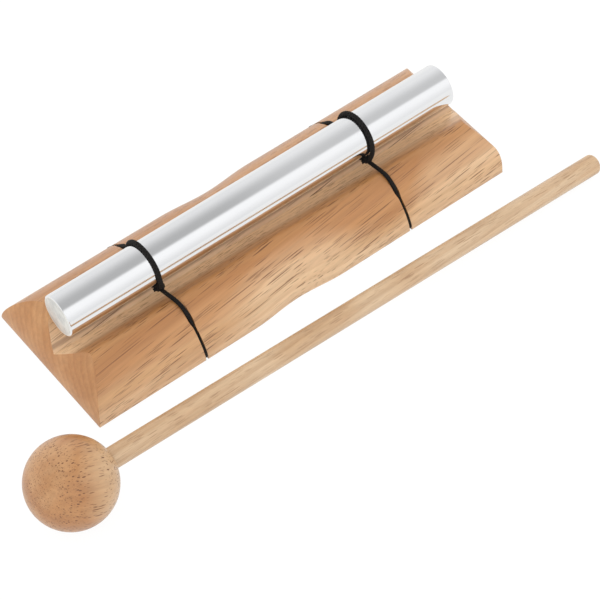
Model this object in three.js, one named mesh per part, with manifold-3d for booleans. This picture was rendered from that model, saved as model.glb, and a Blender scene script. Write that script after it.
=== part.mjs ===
// Chime bar: a polished rod tied on two cords over a wooden base, with its mallet lying beside it.
// Millimetres, +Z up, X along the rod. The origin is the middle of the base's underside.
import * as THREE from "three";
import { mergeVertices } from "three/addons/utils/BufferGeometryUtils.js";
import Module from "manifold-3d";

const wasm = await Module();
wasm.setup();

// Base block: a pillow of wood with bulging sides and ends, a waist in the middle, a V trough.
const BASE_HALF_LENGTH = 91.9;
const BASE_HALF_WIDTH = 29.7;
const CREST_HEIGHT = 17.4;
const CREST_REACH = 13.6;
const CREST_ROUND = 4.6;
const CREST_STEPS = 3;
const WALL_TURN = THREE.MathUtils.degToRad(37);
const FOOT_ROUND = 0.6;
const SIDE_POWER = 1.48;
const SIDE_STEPS = 12;
const END_INSET = 8.9;
const END_POWER = 1.8;
const END_STEPS = 8;
const WAIST_DEPTH = 1.4;
const WAIST_HALF_LENGTH = 20;
const WAIST_SHIFT = -5.5;
const WAIST_SPANS = 12;
const CUTTER_MARGIN = 12;

// Rod: solid, rims eased, lying a little off the middle of the base as photographed.
const ROD_RADIUS = 8;
const ROD_LENGTH = 168;
const ROD_RIM = 0.6;
const ROD_SHIFT = -1.9;
const ROD_SIDES = 64;

// Cords: each is one loop round the base that runs under the rod and lies in a saw kerf.
const LEFT_CORD_X = -46.5;
const RIGHT_CORD_X = 45.1;
const CORD_RADIUS = 0.8;
const CORD_GAP = 0.2;
const CORD_SIDES = 10;
const SPAN_STEPS = 14;
const SPAN_SAG = 0.5;
const SEAT_SHARE = 0.079;
const SEAT_LIFT = 1.1;

// Kerf: how deep the cord's middle lies in it, and its wider mouth near the crests.
const KERF_WIDTH = 1.1;
const KERF_CORD_DEPTH = 1.6;
const NOTCH_WIDTH = 2;
const NOTCH_EXTRA = 0.1;
const UNDER_HEIGHT = 1.35;
const BEND_STEPS = 3;
const KERF_FIRST_STEP = 9.5;
// Down the side, from the crest: share of the depth, share of the cord's width.
const KERF_SHARES = [
  [-0.5, 1],
  [-0.05, 1],
  [0.4, 0.8],
  [0.72, 0.56],
  [0.93, 0.53],
  [1, 0.53],
  [1, 0.53],
  [1, 0.53],
];
const NOTCH_STRETCHES = 4;
const KERF_MARGIN = 4;

// Ties: a strand round the rod, knotted on the loop below its front, with a short cut tail.
const TIE_STEPS = 40;
const KNOT_REACH = 6.3;
const KNOT_LIFT = 1.1;
const KNOT_RADIUS = 1.8;
const KNOT_SIDES = 14;
const KNOT_RINGS = 10;
const KNOT_GAP = 0.3;
const TAIL_RADIUS = 0.75;
const TAIL_BACK = 2.3;
const TAIL_IN = 0.6;
const TAIL_DROP = 0.7;
// Sideways from the kerf's own plane: the knot, the strand on top of the rod and the one under it.
const LEFT_SHIFTS = { knot: -2, top: -3.9, under: -4.4 };
const RIGHT_SHIFTS = { knot: -1.4, top: -1.7, under: -3.8 };
// Round the rod from the knot over the top: share of the turn, then of the three shifts
// (knot, top, underneath), and share of the way out from the rod to the knot.
const TIE_SHARES = [
  [0, 1, 0, 0, 1],
  [0.04, 0.85, 0.15, 0, 0.62],
  [0.09, 0.5, 0.5, 0, 0.16],
  [0.14, 0.2, 0.8, 0, 0],
  [0.4, 0, 1, 0, 0],
  [0.6, 0, 0.7, 0.3, 0],
  [0.75, 0, 0.3, 0.7, 0],
  [0.86, 0, 0, 1, 0],
  [0.93, 0.25, 0, 0.75, 0.2],
  [0.97, 0.7, 0, 0.3, 0.68],
  [1, 1, 0, 0, 1],
];

// Mallet: a wooden ball on a thin stick, lying on the floor beside the base.
const BALL_RADIUS = 15.9;
const BALL_SIDES = 40;
const BALL_RINGS = 24;
const BALL_X = -116.9;
const BALL_Y = -50.5;
const MALLET_TURN = THREE.MathUtils.degToRad(0.3);
const STICK_RADIUS = 3.85;
const STICK_TIP = 233.4;
const STICK_SIDES = 28;
const STICK_ROUND = 1.6;
const STICK_ROUND_STEPS = 3;
const SOCKET_START = 3;
const SOCKET_GAP = 0.2;

const SPAN_HEIGHT = CREST_HEIGHT + SEAT_LIFT - SPAN_SAG;
const ROD_HEIGHT = SPAN_HEIGHT + CORD_RADIUS + CORD_GAP + ROD_RADIUS;

const WOOD = { color: 0xc99c6b, roughness: 0.55, metalness: 0 };
const METAL = { color: 0xdadce1, roughness: 0.16, metalness: 1 };
const CORD = { color: 0x221f1e, roughness: 0.85, metalness: 0 };

const group = new THREE.Group();

function addMesh(name, geometry, look, parent = group) {
  const mesh = new THREE.Mesh(geometry, new THREE.MeshStandardMaterial(look));
  mesh.name = name;
  parent.add(mesh);
  return mesh;
}

function solidOf(geometry) {
  const plain = geometry.clone();
  plain.deleteAttribute("normal");
  plain.deleteAttribute("uv");
  const merged = mergeVertices(plain);
  return new wasm.Manifold(
    new wasm.Mesh({
      numProp: 3,
      vertProperties: merged.attributes.position.array,
      triVerts: new Uint32Array(merged.index.array),
    }),
  );
}

function geometryOf(solid) {
  const mesh = solid.getMesh();
  const geometry = new THREE.BufferGeometry();
  geometry.setAttribute("position", new THREE.BufferAttribute(mesh.vertProperties, 3));
  geometry.setIndex(new THREE.BufferAttribute(mesh.triVerts, 1));
  return geometry;
}

// Skin through rings of points, all of one count: joined end to start, or closed by flat caps.
function loft(rings, closed, capShape) {
  const count = rings[0].length;
  const positions = rings.flat().flatMap((point) => [point.x, point.y, point.z]);
  const index = [];
  const spans = closed ? rings.length : rings.length - 1;
  for (let i = 0; i < spans; i++) {
    const here = i * count;
    const there = ((i + 1) % rings.length) * count;
    for (let j = 0; j < count; j++) {
      const k = (j + 1) % count;
      index.push(here + j, here + k, there + k);
      index.push(here + j, there + k, there + j);
    }
  }
  if (!closed) {
    const last = (rings.length - 1) * count;
    const clockwise = THREE.ShapeUtils.isClockWise(capShape);
    for (const face of THREE.ShapeUtils.triangulateShape(capShape, [])) {
      const [a, b, c] = clockwise ? face.slice().reverse() : face;
      index.push(a, c, b);
      index.push(last + a, last + b, last + c);
    }
  }
  const geometry = new THREE.BufferGeometry();
  geometry.setAttribute("position", new THREE.Float32BufferAttribute(positions, 3));
  geometry.setIndex(index);
  return geometry;
}

// One side of the base's outer surface, from its widest place at 0 to the crest at SIDE_STEPS.
function sidePoint(step) {
  const angle = (Math.PI * step) / (2 * SIDE_STEPS);
  const out = Math.max(Math.cos(angle), 0) ** (2 / SIDE_POWER);
  const up = Math.sin(angle) ** (2 / SIDE_POWER);
  return new THREE.Vector2(
    CREST_REACH + out * (BASE_HALF_WIDTH - CREST_REACH),
    FOOT_ROUND + up * (CREST_HEIGHT - FOOT_ROUND),
  );
}

// Once round the section of the base, from the floor at +Y over both crests to the floor at -Y.
function baseSection() {
  const half = [new THREE.Vector2(BASE_HALF_WIDTH - FOOT_ROUND, 0)];
  for (let i = 0; i <= SIDE_STEPS; i++) half.push(sidePoint(i));
  for (let i = 1; i <= CREST_STEPS; i++) {
    const turn = (WALL_TURN * i) / CREST_STEPS;
    half.push(
      new THREE.Vector2(
        CREST_REACH - CREST_ROUND * Math.sin(turn),
        CREST_HEIGHT - CREST_ROUND * (1 - Math.cos(turn)),
      ),
    );
  }
  const wallTop = half[half.length - 1];
  const bottom = new THREE.Vector2(0, wallTop.y - wallTop.x * Math.tan(WALL_TURN));
  const other = half.map((point) => new THREE.Vector2(-point.x, point.y)).reverse();
  return [...half, bottom, ...other];
}

// Everything between the two bulging ends, as wide as it needs to be.
function betweenEnds() {
  const outline = [new THREE.Vector2(BASE_HALF_LENGTH, -CUTTER_MARGIN)];
  for (let i = 0; i <= END_STEPS; i++) {
    const share = i / END_STEPS;
    const inset = END_INSET * share ** END_POWER;
    outline.push(new THREE.Vector2(BASE_HALF_LENGTH - inset, share * CREST_HEIGHT));
  }
  outline.push(new THREE.Vector2(BASE_HALF_LENGTH - END_INSET, CREST_HEIGHT + CUTTER_MARGIN));
  const left = outline.map((point) => new THREE.Vector2(-point.x, point.y)).reverse();
  const width = 2 * (BASE_HALF_WIDTH + CUTTER_MARGIN);
  const geometry = new THREE.ExtrudeGeometry(new THREE.Shape([...outline, ...left]), {
    depth: width,
    bevelEnabled: false,
  });
  return solidOf(geometry.rotateX(Math.PI / 2).translate(0, width / 2, 0));
}

// The section at each station along X, narrowed at the waist, cut to length by the ends.
function baseSolid() {
  const blankHalf = BASE_HALF_LENGTH + CUTTER_MARGIN;
  const stations = [-blankHalf];
  for (let i = 0; i <= WAIST_SPANS; i++) {
    stations.push(WAIST_SHIFT + WAIST_HALF_LENGTH * ((2 * i) / WAIST_SPANS - 1));
  }
  stations.push(blankHalf);
  const section = baseSection();
  const rings = stations.map((station) => {
    const inside = Math.min(Math.abs(station - WAIST_SHIFT) / WAIST_HALF_LENGTH, 1);
    const waist = WAIST_DEPTH * Math.cos((inside * Math.PI) / 2) ** 2;
    const narrowing = 1 - waist / BASE_HALF_WIDTH;
    return section.map(({ x, y }) => new THREE.Vector3(station, x * narrowing, y));
  });
  return solidOf(loft(rings, false, section)).intersect(betweenEnds());
}

// The cord's middle down one side of the base, from the crest to the underside, in Y and Z.
function sideStations() {
  const stations = KERF_SHARES.map(([depthShare, widthShare], i) => {
    const step = KERF_FIRST_STEP - i;
    const along = sidePoint(step - 1).sub(sidePoint(step + 1)).normalize();
    const inward = new THREE.Vector2(along.y, -along.x);
    const middle = sidePoint(step).addScaledVector(inward, depthShare * KERF_CORD_DEPTH);
    return { middle, width: widthShare };
  });
  const last = stations[stations.length - 1];
  const bend = last.middle.y - UNDER_HEIGHT;
  for (let i = 1; i <= BEND_STEPS; i++) {
    const angle = (Math.PI * i) / (2 * BEND_STEPS);
    const y = last.middle.x - bend + bend * Math.cos(angle);
    const z = UNDER_HEIGHT + bend - bend * Math.sin(angle);
    stations.push({ middle: new THREE.Vector2(y, z), width: last.width });
  }
  return stations;
}

function mirrored(stations) {
  return stations
    .map(({ middle, width }) => ({ middle: new THREE.Vector2(-middle.x, middle.y), width }))
    .reverse();
}

// Where the cord comes down on the crest, in Y.
function spanEnd() {
  return CREST_REACH + SEAT_SHARE * (BASE_HALF_WIDTH - CREST_REACH);
}

// The span from crest to crest, under the rod, drawn aside by the knot.
function spanStations(pull) {
  const end = spanEnd();
  const stations = [];
  for (let i = 0; i <= SPAN_STEPS; i++) {
    const y = end * ((2 * i) / SPAN_STEPS - 1);
    const z = SPAN_HEIGHT + SPAN_SAG * Math.abs(y / end);
    const toKnot = y < -KNOT_REACH ? (y + end) / (end - KNOT_REACH) : (end - y) / (end + KNOT_REACH);
    stations.push({ middle: new THREE.Vector2(y, z), width: 1, shift: pull * Math.max(toKnot, 0) });
  }
  return stations;
}

// Rings of the cord's section at each station, across the path in the plane of the loop.
function cordRings(stations, x, closed, radius) {
  return stations.map(({ middle, width, shift = 0 }, i) => {
    const count = stations.length;
    const before = stations[closed ? (i + count - 1) % count : Math.max(i - 1, 0)].middle;
    const after = stations[closed ? (i + 1) % count : Math.min(i + 1, count - 1)].middle;
    const along = after.clone().sub(before).normalize();
    const across = new THREE.Vector2(along.y, -along.x);
    const ring = [];
    for (let j = 0; j < CORD_SIDES; j++) {
      const angle = (2 * Math.PI * j) / CORD_SIDES;
      const side = radius * Math.sin(angle);
      const out = radius * width * Math.cos(angle);
      const point = middle.clone().addScaledVector(across, side);
      ring.push(new THREE.Vector3(x + shift + out, point.x, point.y));
    }
    return ring;
  });
}

function loopStations(pull) {
  const down = sideStations();
  return [...spanStations(pull), ...down, ...mirrored(down)];
}

// A flat outline in Y and Z given a width along X.
function slab(outline, x, width) {
  const geometry = new THREE.ExtrudeGeometry(new THREE.Shape(outline), {
    depth: width,
    bevelEnabled: false,
  });
  const turn = new THREE.Matrix4().makeBasis(
    new THREE.Vector3(0, 1, 0),
    new THREE.Vector3(0, 0, 1),
    new THREE.Vector3(1, 0, 0),
  );
  geometry.applyMatrix4(turn);
  geometry.translate(x - width / 2, 0, 0);
  return solidOf(geometry);
}

// The saw cut for one cord from its floor to the open air, and its wider mouth at each crest.
function kerfCutters(x) {
  const seat = new THREE.Vector2(spanEnd(), CREST_HEIGHT + SEAT_LIFT);
  const half = [{ middle: seat }, ...sideStations()];
  const path = [...half, ...mirrored(half)].map(({ middle }) => middle);
  const inwards = path.map((point, i) => {
    const before = path[Math.max(i - 1, 0)];
    const along = path[Math.min(i + 1, path.length - 1)].clone().sub(before).normalize();
    return new THREE.Vector2(along.y, -along.x);
  });
  const strip = (first, last, depth, width) => {
    const floor = [];
    const open = [];
    for (let i = first; i <= last; i++) {
      floor.push(path[i].clone().addScaledVector(inwards[i], depth));
      open.unshift(path[i].clone().addScaledVector(inwards[i], -KERF_MARGIN));
    }
    return slab([...floor, ...open], x, width);
  };
  const end = path.length - 1;
  const clear = CORD_RADIUS + CORD_GAP;
  return [
    strip(0, end, clear, KERF_WIDTH),
    strip(0, NOTCH_STRETCHES, clear + NOTCH_EXTRA, NOTCH_WIDTH),
    strip(end - NOTCH_STRETCHES, end, clear + NOTCH_EXTRA, NOTCH_WIDTH),
  ];
}

// A share table's row at a share of the turn, eased between its neighbours.
function tieRow(share) {
  let i = 1;
  while (TIE_SHARES[i][0] < share) i++;
  const low = TIE_SHARES[i - 1];
  const high = TIE_SHARES[i];
  const part = (share - low[0]) / (high[0] - low[0]);
  const eased = part * part * (3 - 2 * part);
  return low.map((value, k) => value + (high[k] - value) * eased);
}

function rodBlank(radius, length) {
  const geometry = new THREE.CylinderGeometry(radius, radius, length, ROD_SIDES);
  return solidOf(geometry.rotateZ(Math.PI / 2).translate(0, 0, ROD_HEIGHT));
}

function tieSolid(x, shifts) {
  const knotHeight = SPAN_HEIGHT + KNOT_LIFT + (SPAN_SAG * KNOT_REACH) / spanEnd();
  const drop = ROD_HEIGHT - knotHeight;
  const knotAngle = Math.atan2(-drop, -KNOT_REACH);
  const lie = ROD_RADIUS + CORD_GAP + CORD_RADIUS;
  const reach = Math.hypot(drop, KNOT_REACH) - lie;
  const path = [];
  for (let i = 0; i < TIE_STEPS; i++) {
    const [turn, knot, top, below, out] = tieRow(i / TIE_STEPS);
    const angle = knotAngle - 2 * Math.PI * turn;
    const far = lie + out * reach;
    const shift = knot * shifts.knot + top * shifts.top + below * shifts.under;
    path.push(
      new THREE.Vector3(x + shift, far * Math.cos(angle), ROD_HEIGHT + far * Math.sin(angle)),
    );
  }
  const rings = path.map((point, i) => {
    const along = path[(i + 1) % TIE_STEPS]
      .clone()
      .sub(path[(i + TIE_STEPS - 1) % TIE_STEPS])
      .normalize();
    const out = new THREE.Vector3(0, point.y, point.z - ROD_HEIGHT);
    out.addScaledVector(along, -out.dot(along)).normalize();
    const side = along.clone().cross(out);
    const ring = [];
    for (let j = 0; j < CORD_SIDES; j++) {
      const angle = (2 * Math.PI * j) / CORD_SIDES;
      const place = point.clone().addScaledVector(out, CORD_RADIUS * Math.cos(angle));
      ring.push(place.addScaledVector(side, CORD_RADIUS * Math.sin(angle)));
    }
    return ring;
  });
  const knotPlace = new THREE.Vector3(x + shifts.knot, -KNOT_REACH, knotHeight);
  const knot = new THREE.SphereGeometry(KNOT_RADIUS, KNOT_SIDES, KNOT_RINGS);
  knot.translate(knotPlace.x, knotPlace.y, knotPlace.z);
  const way = new THREE.Vector3(-TAIL_BACK, TAIL_IN, -TAIL_DROP);
  const tail = new THREE.CylinderGeometry(TAIL_RADIUS, TAIL_RADIUS, way.length(), CORD_SIDES);
  tail.translate(0, way.length() / 2, 0);
  const turn = new THREE.Quaternion().setFromUnitVectors(
    new THREE.Vector3(0, 1, 0),
    way.clone().normalize(),
  );
  tail.applyQuaternion(turn);
  tail.translate(knotPlace.x, knotPlace.y, knotPlace.z);
  const span = cordRings(spanStations(shifts.knot), x, false, CORD_RADIUS + KNOT_GAP);
  const circle = span[0].map((point) => new THREE.Vector2(point.x, point.z));
  return solidOf(loft(rings, true))
    .add(solidOf(knot))
    .add(solidOf(tail))
    .subtract(solidOf(loft(span, false, circle)))
    .subtract(rodBlank(ROD_RADIUS + CORD_GAP / 2, ROD_LENGTH));
}

let base = baseSolid();
for (const x of [LEFT_CORD_X, RIGHT_CORD_X]) {
  for (const cutter of kerfCutters(x)) base = base.subtract(cutter);
}
addMesh("base_block", geometryOf(base), WOOD);

const rodHalf = ROD_LENGTH / 2;
const rodProfile = [
  new THREE.Vector2(0, -rodHalf),
  new THREE.Vector2(ROD_RADIUS - ROD_RIM, -rodHalf),
  new THREE.Vector2(ROD_RADIUS, ROD_RIM - rodHalf),
  new THREE.Vector2(ROD_RADIUS, rodHalf - ROD_RIM),
  new THREE.Vector2(ROD_RADIUS - ROD_RIM, rodHalf),
  new THREE.Vector2(0, rodHalf),
];
const rod = addMesh("chime_rod", new THREE.LatheGeometry(rodProfile, ROD_SIDES), METAL);
rod.rotation.z = -Math.PI / 2;
rod.position.set(ROD_SHIFT, 0, ROD_HEIGHT);

for (const [side, x, shifts] of [
  ["left", LEFT_CORD_X, LEFT_SHIFTS],
  ["right", RIGHT_CORD_X, RIGHT_SHIFTS],
]) {
  const rings = cordRings(loopStations(shifts.knot), x, true, CORD_RADIUS);
  addMesh(`cord_loop_${side}`, loft(rings, true), CORD);
  addMesh(`cord_tie_${side}`, geometryOf(tieSolid(x, shifts)), CORD);
}

// The mallet's own frame: the ball's middle at the origin, the stick along +X.
const rim = STICK_TIP - STICK_ROUND;
const tilt =
  Math.asin(BALL_RADIUS / Math.hypot(rim, STICK_RADIUS)) - Math.atan2(STICK_RADIUS, rim);
const mallet = new THREE.Group();
mallet.position.set(BALL_X, BALL_Y, BALL_RADIUS);
mallet.rotation.set(0, tilt, MALLET_TURN, "ZYX");
group.add(mallet);

const stickProfile = [
  new THREE.Vector2(0, SOCKET_START),
  new THREE.Vector2(STICK_RADIUS, SOCKET_START),
];
for (let i = 0; i <= STICK_ROUND_STEPS; i++) {
  const angle = (Math.PI * i) / (2 * STICK_ROUND_STEPS);
  stickProfile.push(
    new THREE.Vector2(
      STICK_RADIUS - STICK_ROUND + STICK_ROUND * Math.cos(angle),
      rim + STICK_ROUND * Math.sin(angle),
    ),
  );
}
stickProfile.push(new THREE.Vector2(0, STICK_TIP));
const stick = new THREE.LatheGeometry(stickProfile, STICK_SIDES).rotateZ(-Math.PI / 2);
addMesh("mallet_stick", stick, WOOD, mallet);

const ball = new THREE.SphereGeometry(BALL_RADIUS, BALL_SIDES, BALL_RINGS).rotateZ(Math.PI / 2);
const bore = new THREE.CylinderGeometry(
  STICK_RADIUS + SOCKET_GAP,
  STICK_RADIUS + SOCKET_GAP,
  BALL_RADIUS,
  STICK_SIDES,
);
bore.rotateZ(Math.PI / 2).translate(SOCKET_START - SOCKET_GAP + BALL_RADIUS / 2, 0, 0);
addMesh("mallet_ball", geometryOf(solidOf(ball).subtract(solidOf(bore))), WOOD, mallet);

export default group;
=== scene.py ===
from math import asin, atan2, cos, hypot, pi, radians, sin, tan, tau

import bmesh
import bpy
import numpy as np
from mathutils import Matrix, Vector


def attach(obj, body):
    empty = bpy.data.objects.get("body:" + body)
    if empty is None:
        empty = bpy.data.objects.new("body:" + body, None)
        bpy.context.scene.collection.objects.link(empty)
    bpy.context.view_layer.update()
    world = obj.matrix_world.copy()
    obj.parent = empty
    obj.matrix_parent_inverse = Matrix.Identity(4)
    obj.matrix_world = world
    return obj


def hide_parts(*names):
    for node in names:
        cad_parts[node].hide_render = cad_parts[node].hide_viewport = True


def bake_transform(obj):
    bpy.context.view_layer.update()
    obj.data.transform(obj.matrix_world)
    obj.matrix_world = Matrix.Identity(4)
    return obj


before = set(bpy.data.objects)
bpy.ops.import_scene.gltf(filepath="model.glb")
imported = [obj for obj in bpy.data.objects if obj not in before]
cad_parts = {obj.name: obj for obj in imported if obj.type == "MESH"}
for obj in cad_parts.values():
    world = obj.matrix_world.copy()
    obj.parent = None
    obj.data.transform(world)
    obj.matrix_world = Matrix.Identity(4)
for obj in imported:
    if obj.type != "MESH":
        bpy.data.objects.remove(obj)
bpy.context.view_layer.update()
MM = 0.001


# Camera
# A long lens on a tripod, looking down over the mallet's ball at the far end of the rod.
CAMERA_PLACE = (-0.30889, -0.41166, 0.65202)
CAMERA_PITCH = radians(53.1756)
CAMERA_HEADING = radians(38.4254)
SENSOR_WIDTH = 36
LENS = 139.058
CLIP_START = 0.01

camera = bpy.data.objects.new("camera", bpy.data.cameras.new("camera"))
camera.data.sensor_width = SENSOR_WIDTH
camera.data.lens = LENS
camera.data.clip_start = CLIP_START
camera.location = CAMERA_PLACE
camera.rotation_euler = (pi / 2 - CAMERA_PITCH, 0, -CAMERA_HEADING)
bpy.context.scene.collection.objects.link(camera)
bpy.context.scene.camera = camera
bpy.context.scene.view_settings.view_transform = "Standard"


# Studio
# A white table under a pale sky that is brighter to the front and the back, and one soft lamp.
# Reflections show a simpler room without that lamp: a white box over the front, a grey ceiling and a
# pale wall behind.
FLOOR_SIZE = 8
FLOOR_SINK = 0.05 * MM
FLOOR_WHITE = (0.9, 0.9, 0.9, 1)
FLOOR_SHADOW_SHARE = 0.12
TABLE_SEEN = (1.05, 1.05, 1.05, 1)
TABLE_MIRRORED = (0.93, 0.93, 0.92, 1)
SKY_WHITE = (1, 1, 1, 1)
SKY_TOP = (1.0, 1.0, 0.98, 1)
SKY_FRONT = (1.3, 1.29, 1.25, 1)
SKY_BACK = (1.68, 1.58, 1.42, 1)
SKY_FRONT_Y = (-0.1, -0.75)
SKY_BACK_Y = (0.2, 0.8)
KEY_PLACE = (-0.35, -0.28, 1.17)
KEY_SIZE = 0.8
KEY_POWER = 0.7
# Places in the mirrored room run from the front horizon (0) over the top (0.5) to the back horizon (1).
# Its right-hand side is a little paler.
MIRROR_HORIZON = 0.85
MIRROR_BOX = 1.05
MIRROR_BOX_RISE = (0, 0.25)
MIRROR_BOX_EDGE = (0.32, 0.42)
MIRROR_CEILING = (0.5, 0.5, 0.5, 1)
MIRROR_WALL = (0.85, 0.85, 0.85, 1)
MIRROR_WALL_EDGE = (0.5, 0.9)
MIRROR_END_SHARE = 0.25
MIRROR_END_X = (0.3, 0.45)


def put(tree, kind, sockets=None, **settings):
    """Adds a node, sets its options, and fills its sockets with values or links."""
    made = tree.nodes.new(kind)
    for name, value in settings.items():
        setattr(made, name, value)
    for key, value in (sockets or {}).items():
        if isinstance(value, bpy.types.NodeSocket):
            tree.links.new(value, made.inputs[key])
        else:
            made.inputs[key].default_value = value
    return made


def math(tree, operation, first, second=0.0, clamp=False):
    """One Math node's result."""
    made = put(tree, "ShaderNodeMath", {0: first, 1: second}, operation=operation, use_clamp=clamp)
    return made.outputs[0]


def ramp(tree, value, low, high, to_low=0.0, to_high=1.0):
    """A smooth step of a value from low to high."""
    sockets = {"Value": value, "From Min": low, "From Max": high, "To Min": to_low, "To Max": to_high}
    return put(tree, "ShaderNodeMapRange", sockets, interpolation_type="SMOOTHSTEP").outputs["Result"]


def blend(tree, share, first, second, kind="MIX"):
    """Two colours mixed by a share."""
    made = put(tree, "ShaderNodeMix", {0: share, 6: first, 7: second}, data_type="RGBA", blend_type=kind)
    return made.outputs[2]


bpy.ops.object.select_all(action="DESELECT")
bpy.ops.mesh.primitive_plane_add(size=FLOOR_SIZE, location=(0, 0, -FLOOR_SINK))
floor = bpy.context.object
floor.name = "table"
cover = bpy.data.materials.new("table_white")
cover.use_nodes = True
tree = cover.node_tree
tree.nodes.clear()
ray = put(tree, "ShaderNodeLightPath")
glow = blend(tree, ray.outputs["Is Camera Ray"], TABLE_MIRRORED, TABLE_SEEN)
plain = put(tree, "ShaderNodeBsdfDiffuse", {"Color": FLOOR_WHITE})
bright = put(tree, "ShaderNodeEmission", {"Color": glow})
seen = math(tree, "MULTIPLY", ray.outputs["Is Camera Ray"], 1 - FLOOR_SHADOW_SHARE)
seen = math(tree, "MAXIMUM", seen, ray.outputs["Is Glossy Ray"])
seen = math(tree, "MAXIMUM", seen, ray.outputs["Is Transmission Ray"])
both = put(tree, "ShaderNodeMixShader", {0: seen, 1: plain.outputs[0], 2: bright.outputs[0]})
put(tree, "ShaderNodeOutputMaterial", {"Surface": both.outputs[0]})
floor.data.materials.append(cover)

world = bpy.data.worlds.new("studio")
bpy.context.scene.world = world
world.use_nodes = True
tree = world.node_tree
tree.nodes.clear()
way = put(tree, "ShaderNodeSeparateXYZ", {0: put(tree, "ShaderNodeTexCoord").outputs["Generated"]})
turn = math(tree, "ARCTAN2", way.outputs["Y"], way.outputs["Z"])
turn = math(tree, "ADD", math(tree, "DIVIDE", turn, pi), 0.5)
boxes = ramp(tree, turn, *MIRROR_BOX_RISE, MIRROR_HORIZON, MIRROR_BOX)
boxes = blend(tree, ramp(tree, turn, *MIRROR_BOX_EDGE), boxes, MIRROR_CEILING)
boxes = blend(tree, ramp(tree, turn, *MIRROR_WALL_EDGE), boxes, MIRROR_WALL)
end = math(tree, "MULTIPLY", ramp(tree, way.outputs["X"], *MIRROR_END_X), MIRROR_END_SHARE)
boxes = blend(tree, end, boxes, SKY_WHITE)
soft = blend(tree, ramp(tree, way.outputs["Y"], *SKY_FRONT_Y), SKY_TOP, SKY_FRONT)
soft = blend(tree, ramp(tree, way.outputs["Y"], *SKY_BACK_Y), soft, SKY_BACK)
ray = put(tree, "ShaderNodeLightPath")
sky = blend(tree, ray.outputs["Is Glossy Ray"], soft, boxes)
clear = math(tree, "MAXIMUM", ray.outputs["Is Camera Ray"], ray.outputs["Is Transmission Ray"])
sky = blend(tree, clear, sky, SKY_WHITE)
put(tree, "ShaderNodeOutputWorld", {0: put(tree, "ShaderNodeBackground", {"Color": sky}).outputs[0]})

key = bpy.data.objects.new("key", bpy.data.lights.new("key", "AREA"))
key.data.energy = KEY_POWER
key.data.size = KEY_SIZE
key.location = KEY_PLACE
key.rotation_euler = (-Vector(KEY_PLACE)).to_track_quat("-Z", "Y").to_euler()
key.visible_glossy = False
bpy.context.scene.collection.objects.link(key)


# Base block
# One piece of pale, coarse-pored hardwood, shaped on a moulder: bulging long sides, a V trough on
# top, ends rounded over to match, and a shallow waist sanded into the middle of both long sides.
BASE_HALF_LENGTH = 91.9 * MM
BASE_HALF_WIDTH = 29.7 * MM
CREST_HEIGHT = 17.4 * MM
CREST_REACH = 13.6 * MM
FOOT_ROUND = 0.6 * MM
FOOT_STEPS = 6
BULGE_POWER = 1.48
SIDE_STEPS = 36
CREST_ROUND = 4.6 * MM
CREST_STEPS = 10
WALL_SLOPE = radians(37)
END_INSET = 8.9 * MM
END_POWER = 1.8
END_STEPS = 16
WAIST_DEPTH = 1.4 * MM
WAIST_HALF_LENGTH = 20 * MM
WAIST_SHIFT = -5.5 * MM
WAIST_SPANS = 24
EDGE_EASE = 1.1 * MM
EASE_STEPS = 5
EASE_FROM = radians(40)
BASE_SMOOTH = radians(25)
BLANK_LENGTH = 2.4 * BASE_HALF_LENGTH
SOFT_CORNER = 3.1 * MM
SOFT_CORNER_Y = 24.3 * MM
NEAR = 0.002 * MM
MERGE_GAP = 0.01 * MM
CORD_X = {"left": -46.5 * MM, "right": 45.1 * MM}


def side_place(share):
    """A point (y, z) of the bulging side, from its foot at 0 to the crest at 1."""
    turn = (pi / 2) * share
    out = cos(turn) ** (2 / BULGE_POWER) if share < 1 else 0
    up = sin(turn) ** (2 / BULGE_POWER)
    y = CREST_REACH + out * (BASE_HALF_WIDTH - CREST_REACH)
    return y, FOOT_ROUND + up * (CREST_HEIGHT - FOOT_ROUND)


def half_section():
    """Points (y, z) from the middle of the underside, up the +Y side, to the bottom of the trough."""
    points = [(0, 0)]
    for i in range(FOOT_STEPS + 1):
        turn = (pi / 2) * i / FOOT_STEPS
        points.append((BASE_HALF_WIDTH - FOOT_ROUND * (1 - sin(turn)), FOOT_ROUND * (1 - cos(turn))))
    points += [side_place(i / SIDE_STEPS) for i in range(1, SIDE_STEPS + 1)]
    for i in range(1, CREST_STEPS + 1):
        turn = WALL_SLOPE * i / CREST_STEPS
        points.append((CREST_REACH - CREST_ROUND * sin(turn), CREST_HEIGHT - CREST_ROUND * (1 - cos(turn))))
    wall_y, wall_z = points[-1]
    return points + [(0, wall_z - wall_y * tan(WALL_SLOPE))]


def draw_strip(name, points, width, x=0):
    """Starts from one edge along X and extrudes it from point to point of an outline in Y and Z."""
    bpy.ops.object.select_all(action="DESELECT")
    bpy.ops.mesh.primitive_plane_add(size=width, location=(x, 0, 0))
    strip = bpy.context.object
    strip.name = name
    bpy.ops.object.transform_apply(location=True, rotation=False, scale=False)
    bpy.ops.object.mode_set(mode="EDIT")
    mesh = bmesh.from_edit_mesh(strip.data)
    bpy.ops.mesh.select_all(action="DESELECT")
    for vertex in mesh.verts:
        vertex.select_set(vertex.co.y > 0)
    mesh.select_flush_mode()
    bmesh.update_edit_mesh(strip.data)
    bpy.ops.mesh.delete(type="VERT")
    bpy.ops.mesh.select_all(action="SELECT")
    start = (0, points[0][0] + width / 2, points[0][1])
    bpy.ops.transform.translate(value=start)
    for (y, z), (next_y, next_z) in zip(points, points[1:]):
        bpy.ops.mesh.extrude_region_move(
            TRANSFORM_OT_translate={"value": (0, next_y - y, next_z - z)}
        )
    return strip


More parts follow.
